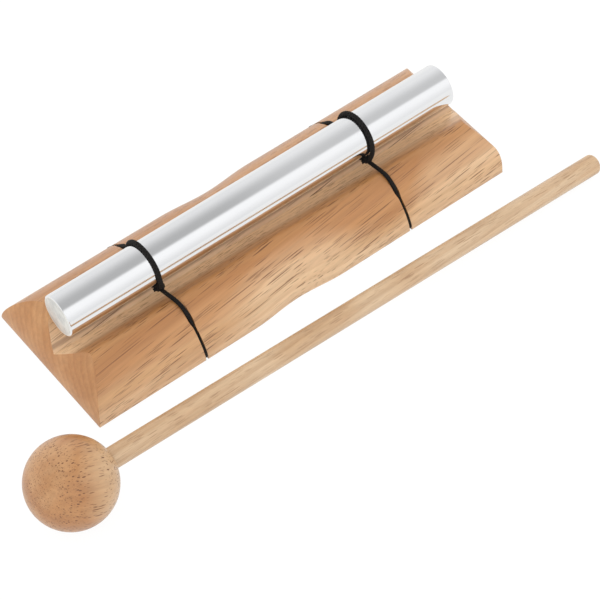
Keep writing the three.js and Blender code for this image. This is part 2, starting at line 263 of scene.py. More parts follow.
half = half_section()
outline = half + [(-y, z) for y, z in half[-2::-1]]
base = draw_strip("base_wood", outline, BLANK_LENGTH)
bpy.ops.mesh.select_all(action="SELECT")
bpy.ops.mesh.remove_doubles(threshold=MERGE_GAP)
for end in (-1, 1):
    bpy.ops.mesh.select_all(action="SELECT")
    bpy.ops.mesh.bisect(
        plane_co=(end * BASE_HALF_LENGTH, 0, 0), plane_no=(end, 0, 0), clear_outer=True, use_fill=True
    )
for i in range(1, END_STEPS):
    bpy.ops.mesh.select_all(action="SELECT")
    bpy.ops.mesh.bisect(plane_co=(0, 0, CREST_HEIGHT * i / END_STEPS), plane_no=(0, 0, 1))


def pick(test):
    """Selects the vertices of the base for which the test holds."""
    mesh = bmesh.from_edit_mesh(base.data)
    bpy.ops.mesh.select_all(action="DESELECT")
    for vertex in mesh.verts:
        vertex.select_set(test(vertex.co))
    mesh.select_flush_mode()
    bmesh.update_edit_mesh(base.data)


# Both ends are rounded over together, one level at a time.
mesh = bmesh.from_edit_mesh(base.data)
levels = sorted({round(v.co.z / NEAR) for v in mesh.verts if abs(v.co.x) > BASE_HALF_LENGTH - NEAR})
for level in levels:
    pick(lambda co: abs(co.x) > BASE_HALF_LENGTH - NEAR and round(co.z / NEAR) == level)
    inset = END_INSET * (max(level * NEAR, 0) / CREST_HEIGHT) ** END_POWER
    bpy.ops.transform.resize(value=(1 - inset / BASE_HALF_LENGTH, 1, 1), center_override=(0, 0, 0))
# The front corner of the right end is sanded rounder than the others.
mesh = bmesh.from_edit_mesh(base.data)
corner = {round(v.co.y / NEAR) for v in mesh.verts if v.co.x > BASE_HALF_LENGTH - END_INSET - NEAR}
for level in sorted(y for y in corner if y * NEAR < -SOFT_CORNER_Y):
    pick(lambda co: co.x > BASE_HALF_LENGTH - END_INSET - NEAR and round(co.y / NEAR) == level)
    share = (-level * NEAR - SOFT_CORNER_Y) / (BASE_HALF_WIDTH - SOFT_CORNER_Y)
    bpy.ops.transform.translate(value=(-SOFT_CORNER * share**2, 0, 0))
for i in range(WAIST_SPANS + 1):
    bpy.ops.mesh.select_all(action="SELECT")
    station = WAIST_SHIFT + WAIST_HALF_LENGTH * (2 * i / WAIST_SPANS - 1)
    bpy.ops.mesh.bisect(plane_co=(station, 0, 0), plane_no=(1, 0, 0))
for i in range(1, WAIST_SPANS):
    share = 2 * i / WAIST_SPANS - 1
    station = WAIST_SHIFT + WAIST_HALF_LENGTH * share
    pick(lambda co: abs(co.x - station) < MERGE_GAP)
    narrowing = 1 - WAIST_DEPTH * cos(share * pi / 2) ** 2 / BASE_HALF_WIDTH
    bpy.ops.transform.resize(value=(1, narrowing, 1), center_override=(station, 0, 0))
bpy.ops.mesh.select_all(action="SELECT")
bpy.ops.mesh.normals_make_consistent(inside=False)
bpy.ops.object.mode_set(mode="OBJECT")
ease = base.modifiers.new("ease", "BEVEL")
ease.width = EDGE_EASE
ease.segments = EASE_STEPS
ease.limit_method = "ANGLE"
ease.angle_limit = EASE_FROM
bpy.ops.object.modifier_apply(modifier="ease")

# The saw kerfs: a belt as wide as the blade lies on the floor of each cut, and is thickened outwards
# into the cutter. It is wider at the crests, where the kerf opens into a notch.
KERF_WIDTH = 1.1 * MM
NOTCH_WIDTH = 2 * MM
NOTCH_HEIGHT = 12 * MM
CUTTER_THICKNESS = 6 * MM
CORD_RADIUS = 0.8 * MM
CORD_GAP = 0.2 * MM
SPAN_HEIGHT = 18 * MM
SPAN_SAG = 0.3 * MM
SPAN_END = 13.2 * MM
KERF_DEPTH = 1.6 * MM
KERF_PLACES = 12


def in_kerf(place, depth_share, width, outside):
    """A row of the cord's way at a place on the side, counted from its foot, and a depth under it."""
    low, here, high = (Vector(side_place((place + k) / KERF_PLACES)) for k in (-1, 0, 1))
    along = (low - high).normalized()
    middle = here + Vector((along.y, -along.x)) * depth_share * KERF_DEPTH
    return (*middle, width, outside)


# The cord's way from under the rod to the middle of the underside: y, z, the cord's width as a share
# of its full one, and how far outside that way, away from the wood, the cord lies.
CORD_ROUTE = [
    (0, SPAN_HEIGHT, 1, 0),
    (SPAN_END, SPAN_HEIGHT + SPAN_SAG, 1, 0),
    (15.3 * MM, 17.95 * MM, 1, 0),
    (17 * MM, 17.05 * MM, 1, 0),
    in_kerf(8.5, -0.05, 1, 0),
    in_kerf(7.5, 0.4, 0.85, 0.1 * MM),
    in_kerf(6.5, 0.72, 0.65, 0.35 * MM),
    in_kerf(5.5, 0.93, 0.56, 0.55 * MM),
    in_kerf(4.5, 1, 0.56, 0.8 * MM),
    (26.8 * MM, 5.4 * MM, 0.62, 0.4 * MM),
    (28.35 * MM, 3.6 * MM, 0.68, 0.15 * MM),
    (28.8 * MM, 2.3 * MM, 0.68, 0),
    (28.45 * MM, 1.2 * MM, 0.68, 0),
    (27.2 * MM, 0.95 * MM, 0.62, 0),
    (25 * MM, 1.2 * MM, 0.53, 0),
    (0, 1.35 * MM, 0.53, 0),
]


def pushed_in(depths):
    """The cord's way pushed towards the wood by a depth at each of its places."""
    path = [Vector(row[:2]) for row in CORD_ROUTE]
    pushed = []
    for i, (point, depth) in enumerate(zip(path, depths)):
        along = (path[min(i + 1, len(path) - 1)] - path[max(i - 1, 0)]).normalized()
        pushed.append(point + Vector((along.y, -along.x)) * depth)
    pushed[0].x = 0
    pushed[-1].x = 0
    return [(p.x, p.y) for p in pushed]


kerf_floor = pushed_in([CORD_RADIUS + CORD_GAP] * len(CORD_ROUTE))
kerf_floor += [(-y, z) for y, z in kerf_floor[-2::-1]]
for side, x in CORD_X.items():
    belt = draw_strip(f"kerf_{side}", kerf_floor, KERF_WIDTH, x)
    bpy.ops.mesh.select_all(action="SELECT")
    bpy.ops.mesh.remove_doubles(threshold=MERGE_GAP)
    mesh = bmesh.from_edit_mesh(belt.data)
    bpy.ops.mesh.select_all(action="DESELECT")
    for vertex in mesh.verts:
        vertex.select_set(vertex.co.z > NOTCH_HEIGHT)
    mesh.select_flush_mode()
    bmesh.update_edit_mesh(belt.data)
    bpy.ops.transform.resize(value=(NOTCH_WIDTH / KERF_WIDTH, 1, 1), center_override=(x, 0, 0))
    bpy.ops.mesh.select_all(action="SELECT")
    bpy.ops.mesh.normals_make_consistent(inside=False)
    bpy.ops.object.mode_set(mode="OBJECT")
    thick = belt.modifiers.new("thick", "SOLIDIFY")
    thick.thickness = CUTTER_THICKNESS
    thick.offset = 1
    bpy.ops.object.modifier_apply(modifier="thick")
    bpy.ops.object.select_all(action="DESELECT")
    base.select_set(True)
    bpy.context.view_layer.objects.active = base
    cut = base.modifiers.new("cut", "BOOLEAN")
    cut.operation = "DIFFERENCE"
    cut.solver = "EXACT"
    cut.object = belt
    bpy.ops.object.modifier_apply(modifier="cut")
    bpy.data.objects.remove(belt)

# Wood: growth rings about a pith, long pores along the fibres, and a satin lacquer over them. A GRAIN
# is a noise's scale along and across the fibres, its detail and its roughness. Two numbers are where a
# smooth step starts and ends, and two more are its levels there.
DRIFT_GRAIN = (0.007, 0.03, 2.0, 0.5)
DRIFT_MIDDLE = (0.5, 0.5, 0.5)
DRIFT_REACH = (0, 2.5, 2.5)
WANDER_GRAIN = (0.01, 0.2, 2.0, 0.5)
WANDER_REACH = 0.8
LATE_STARTS = (0.15, 0.85)
LATE_ENDS = (1.0, 0.88)
FIGURE_GRAIN = (0.006, 0.1, 3.0, 0.5)
FIGURE_RANGE = (0.32, 0.68)
FIGURE_IN_SAP_AND_LIGHT = (0.0, 1.0, 0.12, -0.12)
SAP_AND_LIGHT_FADE = (0.0, 0.1)
STREAK_GRAIN = (0.02, 0.75, 3.0, 0.6)
STREAK_SHADE = (0.3, 0.7, 0.93, 1.05)
FIBRE_GRAIN = (0.05, 3.2, 3.0, 0.65)
FIBRE_SHADE = (0.25, 0.75, -0.05, 0.05)
FIBRE_ROUGHNESS = (0.2, 0.8, 0.36, 0.46)
FIBRE_HEIGHT = 0.25
PORE_ROUGHNESS = 0.25
# Each kind of pore: its radius and soft edge in cells, how many cells keep theirs, and where it shows.
BOLD_PORES = (0.3, 0.1, 0.95)
BOLD_STREAKS = (0.33, 0.52, 0.35, 1.0)
FINE_PORES = (0.34, 0.12, 0.9)
FINE_STREAKS = (0.66, 0.42, 0.35, 0.72)
FINE_LENGTH_SHARE = 0.4
FINE_SPACING_SHARE = 0.6
# The chance from which a pore is at full strength, and how far it falls if every cell keeps its pore.
FULL_CHANCE = 1.1
FULL_CHANCE_FALL = 0.6
LINE_FIBRES = (0.3, 0.6, 0.75, 1.0)
WOOD_RELIEF = 0.35
PORE_DEPTH = 0.06 * MM
LACQUER = {"IOR": 1.5, "Coat Weight": 0.35, "Coat Roughness": 0.22}
GRAIN_INPUTS = {
    "Vector": "Vector",
    "Ring Spacing": "Float",
    "Ring Strength": "Float",
    "Pore Length": "Float",
    "Pore Spacing": "Float",
    "Pore Strength": "Float",
    "Line": "Float",
    "Pale": "Color",
    "Warm": "Color",
    "Sapwood And Painted Light": "Color",
    "Sapwood And Painted Light Share": "Float",
    "Dark": "Color",
}
GRAIN_OUTPUTS = {"Color": "Color", "Roughness": "Float", "Height": "Float"}


def vector_math(tree, operation, first, second=(0.0, 0.0, 0.0), output=0):
    """One Vector Math node's result."""
    sockets = {0: first, 1: second}
    return put(tree, "ShaderNodeVectorMath", sockets, operation=operation).outputs[output]


def grain_group():
    """Wood from a vector in millimetres, with the fibres along X and the pith at the origin."""
    tree = bpy.data.node_groups.new("wood_grain", "ShaderNodeTree")
    for way, sockets in (("INPUT", GRAIN_INPUTS), ("OUTPUT", GRAIN_OUTPUTS)):
        for name, kind in sockets.items():
            tree.interface.new_socket(name, in_out=way, socket_type=f"NodeSocket{kind}")
    given = put(tree, "NodeGroupInput").outputs

    def noise(vector, along, across, detail, rough):
        """Noise drawn out along the fibres."""
        stretched = vector_math(tree, "MULTIPLY", vector, (along, across, across))
        sockets = {"Vector": stretched, "Scale": 1.0, "Detail": detail, "Roughness": rough}
        return put(tree, "ShaderNodeTexNoise", sockets).outputs

    drift = noise(given["Vector"], *DRIFT_GRAIN)["Color"]
    drift = vector_math(tree, "SUBTRACT", drift, DRIFT_MIDDLE)
    drift = vector_math(tree, "MULTIPLY", drift, DRIFT_REACH)
    wood = vector_math(tree, "ADD", given["Vector"], drift)

    across = vector_math(tree, "MULTIPLY", wood, (0, 1, 1))
    radius = vector_math(tree, "LENGTH", across, output="Value")
    uneven = noise(wood, *WANDER_GRAIN)["Fac"]
    rings = math(tree, "DIVIDE", radius, given["Ring Spacing"])
    count = math(tree, "ADD", rings, math(tree, "MULTIPLY", uneven, WANDER_REACH))
    ring = math(tree, "FRACT", count)
    late = math(tree, "MULTIPLY", ramp(tree, ring, *LATE_STARTS), ramp(tree, ring, *LATE_ENDS))

    figure = ramp(tree, noise(wood, *FIGURE_GRAIN)["Fac"], *FIGURE_RANGE)
    streak = noise(wood, *STREAK_GRAIN)["Fac"]
    fibre = noise(wood, *FIBRE_GRAIN)["Fac"]

    def pores(length, spacing, size, edge, keep):
        """Long cells along the fibres, each with a pore in its middle unless chance leaves it out."""
        per_length = math(tree, "DIVIDE", 1.0, length)
        per_width = math(tree, "DIVIDE", 1.0, spacing)
        scale = put(tree, "ShaderNodeCombineXYZ", {0: per_length, 1: per_width, 2: per_width}).outputs[0]
        sockets = {"Vector": vector_math(tree, "MULTIPLY", wood, scale), "Scale": 1.0, "Randomness": 1.0}
        found = put(tree, "ShaderNodeTexVoronoi", sockets, feature="F1").outputs
        near = ramp(tree, found["Distance"], size, size - edge)
        chance = put(tree, "ShaderNodeSeparateColor", {0: found["Color"]}).outputs[0]
        kept = ramp(tree, chance, 1 - keep, FULL_CHANCE - FULL_CHANCE_FALL * keep)
        return math(tree, "MULTIPLY", near, kept)

    bold = pores(given["Pore Length"], given["Pore Spacing"], *BOLD_PORES)
    short = math(tree, "MULTIPLY", given["Pore Length"], FINE_LENGTH_SHARE)
    close = math(tree, "MULTIPLY", given["Pore Spacing"], FINE_SPACING_SHARE)
    fine = pores(short, close, *FINE_PORES)
    bold = math(tree, "MULTIPLY", bold, ramp(tree, streak, *BOLD_STREAKS))
    fine = math(tree, "MULTIPLY", fine, ramp(tree, streak, *FINE_STREAKS))
    pore = math(tree, "MAXIMUM", bold, fine)
    pore = math(tree, "MULTIPLY", pore, given["Pore Strength"], clamp=True)
    # The line input also carries the base's painted shade, broken up by the fibres.
    line = math(tree, "MULTIPLY", given["Line"], ramp(tree, fibre, *LINE_FIBRES), clamp=True)

    colour = blend(tree, figure, given["Pale"], given["Warm"])
    # The sap colour and share are sapwood on the mallet and painted light on the base.
    sap_and_light = math(tree, "ADD", given["Sapwood And Painted Light Share"], ramp(tree, figure, *FIGURE_IN_SAP_AND_LIGHT), clamp=True)
    sap_and_light = math(tree, "MULTIPLY", sap_and_light, ramp(tree, given["Sapwood And Painted Light Share"], *SAP_AND_LIGHT_FADE))
    colour = blend(tree, sap_and_light, colour, given["Sapwood And Painted Light"])
    late = math(tree, "MULTIPLY", late, given["Ring Strength"], clamp=True)
    colour = blend(tree, late, colour, given["Warm"], "MULTIPLY")
    shade = math(tree, "ADD", ramp(tree, streak, *STREAK_SHADE), ramp(tree, fibre, *FIBRE_SHADE))
    shade = put(tree, "ShaderNodeCombineColor", {0: shade, 1: shade, 2: shade}).outputs[0]
    colour = blend(tree, 1.0, colour, shade, "MULTIPLY")
    colour = blend(tree, math(tree, "MAXIMUM", pore, line), colour, given["Dark"])
    rough = math(tree, "MULTIPLY", pore, PORE_ROUGHNESS)
    rough = math(tree, "ADD", ramp(tree, fibre, *FIBRE_ROUGHNESS), rough)
    height = math(tree, "SUBTRACT", math(tree, "MULTIPLY", fibre, FIBRE_HEIGHT), pore)
    put(tree, "NodeGroupOutput", {"Color": colour, "Roughness": rough, "Height": height})
    return tree


grain = grain_group()


def wood_material(name, pith, turn, values, vary):
    """Lacquered wood: the grain group in the piece's own place and direction, varied over the piece."""
    made = bpy.data.materials.new(name)
    made.use_nodes = True
    tree = made.node_tree
    tree.nodes.clear()
    place = put(tree, "ShaderNodeTexCoord").outputs["Object"]
    scaled = vector_math(tree, "MULTIPLY", place, (1 / MM,) * 3)
    moved = vector_math(tree, "SUBTRACT", scaled, pith)
    turned = put(tree, "ShaderNodeMapping", {"Vector": moved, "Rotation": turn}).outputs[0]
    wood = put(tree, "ShaderNodeGroup", node_tree=grain)
    tree.links.new(turned, wood.inputs["Vector"])
    for key, value in values.items():
        wood.inputs[key].default_value = value
    vary(tree, scaled, wood.inputs)
    height = wood.outputs["Height"]
    relief = put(tree, "ShaderNodeBump", {"Height": height, "Strength": WOOD_RELIEF, "Distance": PORE_DEPTH})
    shader = put(
        tree,
        "ShaderNodeBsdfPrincipled",
        {
            "Base Color": wood.outputs["Color"],
            "Roughness": wood.outputs["Roughness"],
            "Normal": relief.outputs[0],
            **LACQUER,
        },
    )
    put(tree, "ShaderNodeOutputMaterial", {"Surface": shader.outputs[0]})
    return made


# How the wood varies over the base, in millimetres: a pith in front and above; painted light that
# pales the foot, reaching up near the waist and at the right end, and pales the trough; a dark line
# along each wall; painted shade on the back side and the ends; and fainter pores on the end grain.
PITH = (0, -60, 85)
GRAIN_TURN = (0, 0.06, -0.09)
PAINTED_LIGHT_X = -3.0
PAINTED_LIGHT_LIFT = (40.0, 8.0, 0.0, 5.5)
RIGHT_LIFT = (40.0, 64.0, 0.0, 8.0)
FRONT_SIDE = (4.0, -4.0)
PAINTED_LIGHT_FOOT_RANGE = (13.5, 0.0)
PAINTED_LIGHT_SHARE = (50.0, 10.0, 0.72, 1.1)
TROUGH_LIGHT_RANGE = (10.5, 5.5)
END_GRAIN = (0.2, 0.6)
PORES_TO_END = (0.0, 1.0, 0.85, 0.12)
FAR_LINE_Y = 1.8
FAR_LINE = (1.1, 0.3, 0.0, 0.6)
NEAR_LINE_Y = -7.4
NEAR_LINE = (2.2, 0.4, 0.0, 0.2)
LINES_FROM_Z = (3.0, 5.0)
BACK_PAINTED_SHADE = (12.0, 15.0, 0.0, 0.17)
END_PAINTED_SHADE = 0.09


def vary_base(tree, place, inputs):
    """Links the shares of painted light, pores, lines and painted shade that change over the base."""
    part = put(tree, "ShaderNodeSeparateXYZ", {0: place}).outputs
    # Painted light: a paler foot, reaching higher near the waist and towards the right end on the front.
    from_painted_light = math(tree, "ABSOLUTE", math(tree, "ADD", part["X"], -PAINTED_LIGHT_X))
    near_painted_light = ramp(tree, from_painted_light, *PAINTED_LIGHT_LIFT)
    lift = math(tree, "ADD", near_painted_light, ramp(tree, part["X"], *RIGHT_LIFT))
    lift = math(tree, "MULTIPLY", lift, ramp(tree, part["Y"], *FRONT_SIDE))
    foot = ramp(tree, math(tree, "SUBTRACT", part["Z"], lift), *PAINTED_LIGHT_FOOT_RANGE)
    foot = math(tree, "MULTIPLY", foot, ramp(tree, from_painted_light, *PAINTED_LIGHT_SHARE))
    # Painted light: paler walls in the trough, standing in for light the rod throws onto them.
    trough = ramp(tree, math(tree, "ABSOLUTE", part["Y"]), *TROUGH_LIGHT_RANGE)
    normal = put(tree, "ShaderNodeTexCoord").outputs["Normal"]
    facing = put(tree, "ShaderNodeSeparateXYZ", {0: normal}).outputs["X"]
    end = ramp(tree, math(tree, "ABSOLUTE", facing), *END_GRAIN)
    side = math(tree, "SUBTRACT", 1.0, end)
    tree.links.new(math(tree, "MULTIPLY", math(tree, "MAXIMUM", foot, trough), side), inputs["Sapwood And Painted Light Share"])
    tree.links.new(ramp(tree, end, *PORES_TO_END), inputs["Pore Strength"])
    far = ramp(tree, math(tree, "ABSOLUTE", math(tree, "ADD", part["Y"], -FAR_LINE_Y)), *FAR_LINE)
    near = ramp(tree, math(tree, "ABSOLUTE", math(tree, "ADD", part["Y"], -NEAR_LINE_Y)), *NEAR_LINE)
    line = math(tree, "MULTIPLY", math(tree, "MAXIMUM", far, near), side)
    line = math(tree, "MULTIPLY", line, ramp(tree, part["Z"], *LINES_FROM_Z))
    # Painted shade: darker on the back side and on the end faces.
    back = math(tree, "MULTIPLY", ramp(tree, part["Y"], *BACK_PAINTED_SHADE), side)
    painted_shade = math(tree, "ADD", math(tree, "MULTIPLY", end, END_PAINTED_SHADE), back)
    tree.links.new(math(tree, "MAXIMUM", line, painted_shade), inputs["Line"])


base_values = {
    "Ring Spacing": 2.6,
    "Ring Strength": 0.16,
    "Pore Length": 48.0,
    "Pore Spacing": 0.78,
    "Pale": (0.57, 0.293, 0.118, 1),
    "Warm": (0.485, 0.223, 0.076, 1),
    # Painted light: the colour that the base's foot and trough are paled to.
    "Sapwood And Painted Light": (0.79, 0.555, 0.345, 1),
    "Dark": (0.15, 0.055, 0.02, 1),
}
base.data.materials.clear()
base.data.materials.append(wood_material("base_hardwood", PITH, GRAIN_TURN, base_values, vary_base))
bpy.ops.object.shade_smooth_by_angle(angle=BASE_SMOOTH)
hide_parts("base_block")
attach(base, "base")


# Chime rod
# Solid drawn aluminium, polished along its length, with sawn ends that are faced and lightly eased.
ROD_RADIUS = 8 * MM
ROD_LENGTH = 168 * MM
ROD_X = -1.9 * MM
ROD_HEIGHT = SPAN_HEIGHT + CORD_RADIUS + CORD_GAP + ROD_RADIUS
ROD_RIM = 0.45 * MM
ROD_SIDES = 160
RIM_STEPS = 3
RIM_FROM = radians(60)
ROD_SMOOTH = radians(30)
DRAWN_SCALE = (14, 900, 900)
DRAWN_NOISE = {"Scale": 1.0, "Detail": 4.0}
DRAWN_ROUGHNESS = (0.3, 0.7, 0.05, 0.1)
DRAWN_RELIEF = {"Strength": 0.1, "Distance": 0.004 * MM}
CLOUD_NOISE = {"Scale": 55.0, "Detail": 2.0}
CLOUD_ROUGHNESS = (0.35, 0.7, 0.0, 0.03)
POLISH_TINTS = ((0.91, 0.915, 0.925, 1), (0.86, 0.87, 0.89, 1))

bpy.ops.object.select_all(action="DESELECT")
bpy.ops.mesh.primitive_cylinder_add(
    vertices=ROD_SIDES,
    radius=ROD_RADIUS,
    depth=ROD_LENGTH,
    location=(ROD_X, 0, ROD_HEIGHT),
    rotation=(0, pi / 2, 0),
)
rod = bpy.context.object
rod.name = "rod_polished"
bpy.ops.object.transform_apply(location=True, rotation=True, scale=True)
rim = rod.modifiers.new("rim", "BEVEL")
rim.width = ROD_RIM
rim.segments = RIM_STEPS
rim.limit_method = "ANGLE"
rim.angle_limit = RIM_FROM
bpy.ops.object.modifier_apply(modifier="rim")
bpy.ops.object.shade_smooth_by_angle(angle=ROD_SMOOTH)

polish = bpy.data.materials.new("rod_polish")
polish.use_nodes = True
tree = polish.node_tree
tree.nodes.clear()
place = put(tree, "ShaderNodeTexCoord").outputs["Object"]
drawn = put(tree, "ShaderNodeMapping", {"Vector": place, "Scale": DRAWN_SCALE}).outputs[0]
lines = put(tree, "ShaderNodeTexNoise", {"Vector": drawn, **DRAWN_NOISE}).outputs["Fac"]
broad = put(tree, "ShaderNodeTexNoise", {"Vector": place, **CLOUD_NOISE}).outputs["Fac"]
rough = math(tree, "ADD", ramp(tree, lines, *DRAWN_ROUGHNESS), ramp(tree, broad, *CLOUD_ROUGHNESS))
relief = put(tree, "ShaderNodeBump", {"Height": lines, **DRAWN_RELIEF})
tint = blend(tree, broad, *POLISH_TINTS)
shader = put(
    tree,
    "ShaderNodeBsdfPrincipled",
    {"Base Color": tint, "Metallic": 1.0, "Roughness": rough, "Normal": relief.outputs[0]},
)
put(tree, "ShaderNodeOutputMaterial", {"Surface": shader.outputs[0]})

# Each end shows the marks of its saw cut: a matt, paler face with arcs from the blade, and a painted
# highlight round its rim.
BLADE_MIDDLE = (0, 0.045, 0.01)
ARC_NOISE = {"Scale": 2600.0, "Detail": 3.0}
ARC_RELIEF = {"Strength": 0.5, "Distance": 0.02 * MM}
ARC_RUB = (0.3, 0.7, -0.15, 0.15)
ARC_ROUGHNESS = (0.3, 0.7, 0.3, 0.5)
RUB_NOISE = {"Scale": 300.0, "Detail": 3.0}
RUB_RANGE = (0.35, 0.65)
SAWN_FACE = ((0.88, 0.87, 0.83, 1), (0.68, 0.68, 0.66, 1))
PAINTED_RIM_HIGHLIGHT = (0.97, 0.95, 0.91, 1)
PAINTED_RIM_HIGHLIGHT_SHARES = (0.87, 0.92)
END_FACING = 0.99

sawn = bpy.data.materials.new("rod_sawn_end")
sawn.use_nodes = True
tree = sawn.node_tree
tree.nodes.clear()
place = put(tree, "ShaderNodeTexCoord").outputs["Object"]


def from_axis(tree, place, axis):
    """The distance of a place from a line along the rod."""
    offset = vector_math(tree, "SUBTRACT", place, axis)
    return vector_math(tree, "LENGTH", vector_math(tree, "MULTIPLY", offset, (0, 1, 1)), output="Value")


arcs = {"W": from_axis(tree, place, BLADE_MIDDLE), **ARC_NOISE}
arc = put(tree, "ShaderNodeTexNoise", arcs, noise_dimensions="1D").outputs["Fac"]
cloud = put(tree, "ShaderNodeTexNoise", {"Vector": place, **RUB_NOISE}).outputs["Fac"]
relief = put(tree, "ShaderNodeBump", {"Height": arc, **ARC_RELIEF})
rubbed = ramp(tree, math(tree, "ADD", cloud, ramp(tree, arc, *ARC_RUB)), *RUB_RANGE)
out = from_axis(tree, place, (0, 0, ROD_HEIGHT))
# Painted highlight: the face turns to a bright colour near its edge.
at_rim_highlight = ramp(tree, out, *(share * ROD_RADIUS for share in PAINTED_RIM_HIGHLIGHT_SHARES))
face = blend(tree, at_rim_highlight, blend(tree, rubbed, *SAWN_FACE), PAINTED_RIM_HIGHLIGHT)
shader = put(
    tree,
    "ShaderNodeBsdfPrincipled",
    {
        "Base Color": face,
        "Metallic": 1.0,
        "Roughness": ramp(tree, arc, *ARC_ROUGHNESS),
        "Normal": relief.outputs[0],
    },
)
put(tree, "ShaderNodeOutputMaterial", {"Surface": shader.outputs[0]})
rod.data.materials.append(polish)
rod.data.materials.append(sawn)
for face in rod.data.polygons:
    if abs(face.normal.x) > END_FACING:
        face.material_index = 1
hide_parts("chime_rod")
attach(rod, "rod")


# Cords
# Black braid of eight yarns, four turning each way, plaited over and under. Each cord is a loop pulled
# round the base and down its kerf, with a tie round the rod that is knotted on it at the rod's front.
CARRIERS = 4
BRAID_PITCH = 4.6 * MM
BRAID_STEPS = 24
YARN_HALF_WIDTH = 0.3 * MM
YARN_HALF_THICK = 0.15 * MM
YARN_SIDES = 8
BRAID_MIDDLE = 0.6 * MM
BRAID_WAVE = 0.07 * MM
KNOT_Y = -6.3 * MM
PULL = {"left": -2 * MM, "right": -1.4 * MM}
CURVE_STEPS = 24
LEAST_STEPS = 8


def smooth(points, step, closed):
    """Evenly spaced points on a curve through the given ones."""
    points = np.array(points, float)
    count = len(points)
    dense = []
    for i in range(count if closed else count - 1):
        if closed:
            a, b, c, d = (points[(i + k) % count] for k in (-1, 0, 1, 2))
        else:
            b, c = points[i], points[i + 1]
            a = points[i - 1] if i > 0 else 2 * b - c
            d = points[i + 2] if i + 2 < count else 2 * c - b
        square = 2 * a - 5 * b + 4 * c - d
        cube = 3 * b - a - 3 * c + d
        for t in np.linspace(0, 1, CURVE_STEPS, endpoint=False):
            dense.append(0.5 * (2 * b + (c - a) * t + square * t**2 + cube * t**3))
    dense.append(dense[0] if closed else points[-1])
    dense = np.array(dense)
    travelled = np.concatenate([[0], np.cumsum(np.linalg.norm(np.diff(dense[:, :3], axis=0), axis=1))])
    steps = max(int(round(travelled[-1] / step)), LEAST_STEPS)
    wanted = np.linspace(0, travelled[-1], steps + 1)
    even = np.stack([np.interp(wanted, travelled, dense[:, k]) for k in range(dense.shape[1])], axis=1)
    return even[:-1] if closed else even


def plait(route, outward, closed, thickness=1.0):
    """Vertices, faces and UVs of a braid along a route of rows (x, y, z, squeeze across)."""
    centre, squeeze = route[:, :3], route[:, 3]
    if closed:
        along = np.roll(centre, -1, axis=0) - np.roll(centre, 1, axis=0)
    else:
        along = np.gradient(centre, axis=0)
    along /= np.linalg.norm(along, axis=1)[:, None]
    out = outward - (outward * along).sum(1)[:, None] * along
    out /= np.linalg.norm(out, axis=1)[:, None]
    side = np.cross(along, out)
    step = np.linalg.norm(np.diff(centre, axis=0), axis=1).mean()
    count = len(centre)
    length = step * (count if closed else count - 1)
    turns = length / (BRAID_PITCH * thickness)
    if closed:
        turns = max(round(turns), 1)
    theta = tau * turns * np.arange(count) / (count if closed else count - 1)
    verts, faces, uvs = [], [], []
    beta = tau * np.arange(YARN_SIDES) / YARN_SIDES
    for hand in (1, -1):
        for carrier in range(CARRIERS):
            phi = hand * theta + tau * carrier / CARRIERS
            far = thickness * (BRAID_MIDDLE + hand * BRAID_WAVE * np.cos(CARRIERS * theta))
            n, b = np.cos(phi), np.sin(phi)
            radial = n[:, None] * out + b[:, None] * side
            middle = centre + far[:, None] * radial
            if closed:
                lay = np.roll(middle, -1, axis=0) - np.roll(middle, 1, axis=0)
            else:
                lay = np.gradient(middle, axis=0)
            lay /= np.linalg.norm(lay, axis=1)[:, None]
            across = np.cross(lay, radial)
            first = len(verts)
            for i in range(count):
                for angle in beta:
                    point = (
                        middle[i]
                        + radial[i] * thickness * YARN_HALF_THICK * cos(angle)
                        + across[i] * thickness * YARN_HALF_WIDTH * sin(angle)
                    )
                    aside = np.dot(point - centre[i], side[i])
                    verts.append(point - side[i] * aside * (1 - squeeze[i]))
            for i in range(count if closed else count - 1):
                here, there = first + i * YARN_SIDES, first + (i + 1) % count * YARN_SIDES
                for j in range(YARN_SIDES):
                    k = (j + 1) % YARN_SIDES
                    faces.append((here + j, there + j, there + k, here + k))
                    low, high = j / YARN_SIDES, (j + 1) / YARN_SIDES
                    u, v = i * step / MM, (i + 1) * step / MM
                    uvs += [(u, low), (v, low), (v, high), (u, high)]
            if not closed:
                ends = [first + j for j in range(YARN_SIDES)]
                faces.append(tuple(ends))
                uvs += [(0, j / YARN_SIDES) for j in range(YARN_SIDES)]
                ends = [first + (count - 1) * YARN_SIDES + j for j in reversed(range(YARN_SIDES))]
                faces.append(tuple(ends))
                uvs += [(0, j / YARN_SIDES) for j in range(YARN_SIDES)]
    return verts, faces, uvs


def cord_piece(name, strands):
    """One mesh of several braided strands, with their UVs."""
    verts, faces, uvs = [], [], []
    for strand in strands:
        first = len(verts)
        verts += [tuple(v) for v in strand[0]]
        faces += [tuple(first + i for i in face) for face in strand[1]]
        uvs += strand[2]
    mesh = bpy.data.meshes.new(name)
    mesh.from_pydata(verts, [], faces)
    layer = mesh.uv_layers.new(name="yarn")
    for loop, uv in zip(layer.data, uvs):
        loop.uv = uv
    piece = bpy.data.objects.new(name, mesh)
    bpy.context.scene.collection.objects.link(piece)
    bpy.ops.object.select_all(action="DESELECT")
    piece.select_set(True)
    bpy.context.view_layer.objects.active = piece
    bpy.ops.object.mode_set(mode="EDIT")
    bpy.ops.mesh.select_all(action="SELECT")
    bpy.ops.mesh.normals_make_consistent(inside=False)
    bpy.ops.object.mode_set(mode="OBJECT")
    bpy.ops.object.shade_smooth()
    mesh.materials.append(braid)
    return piece


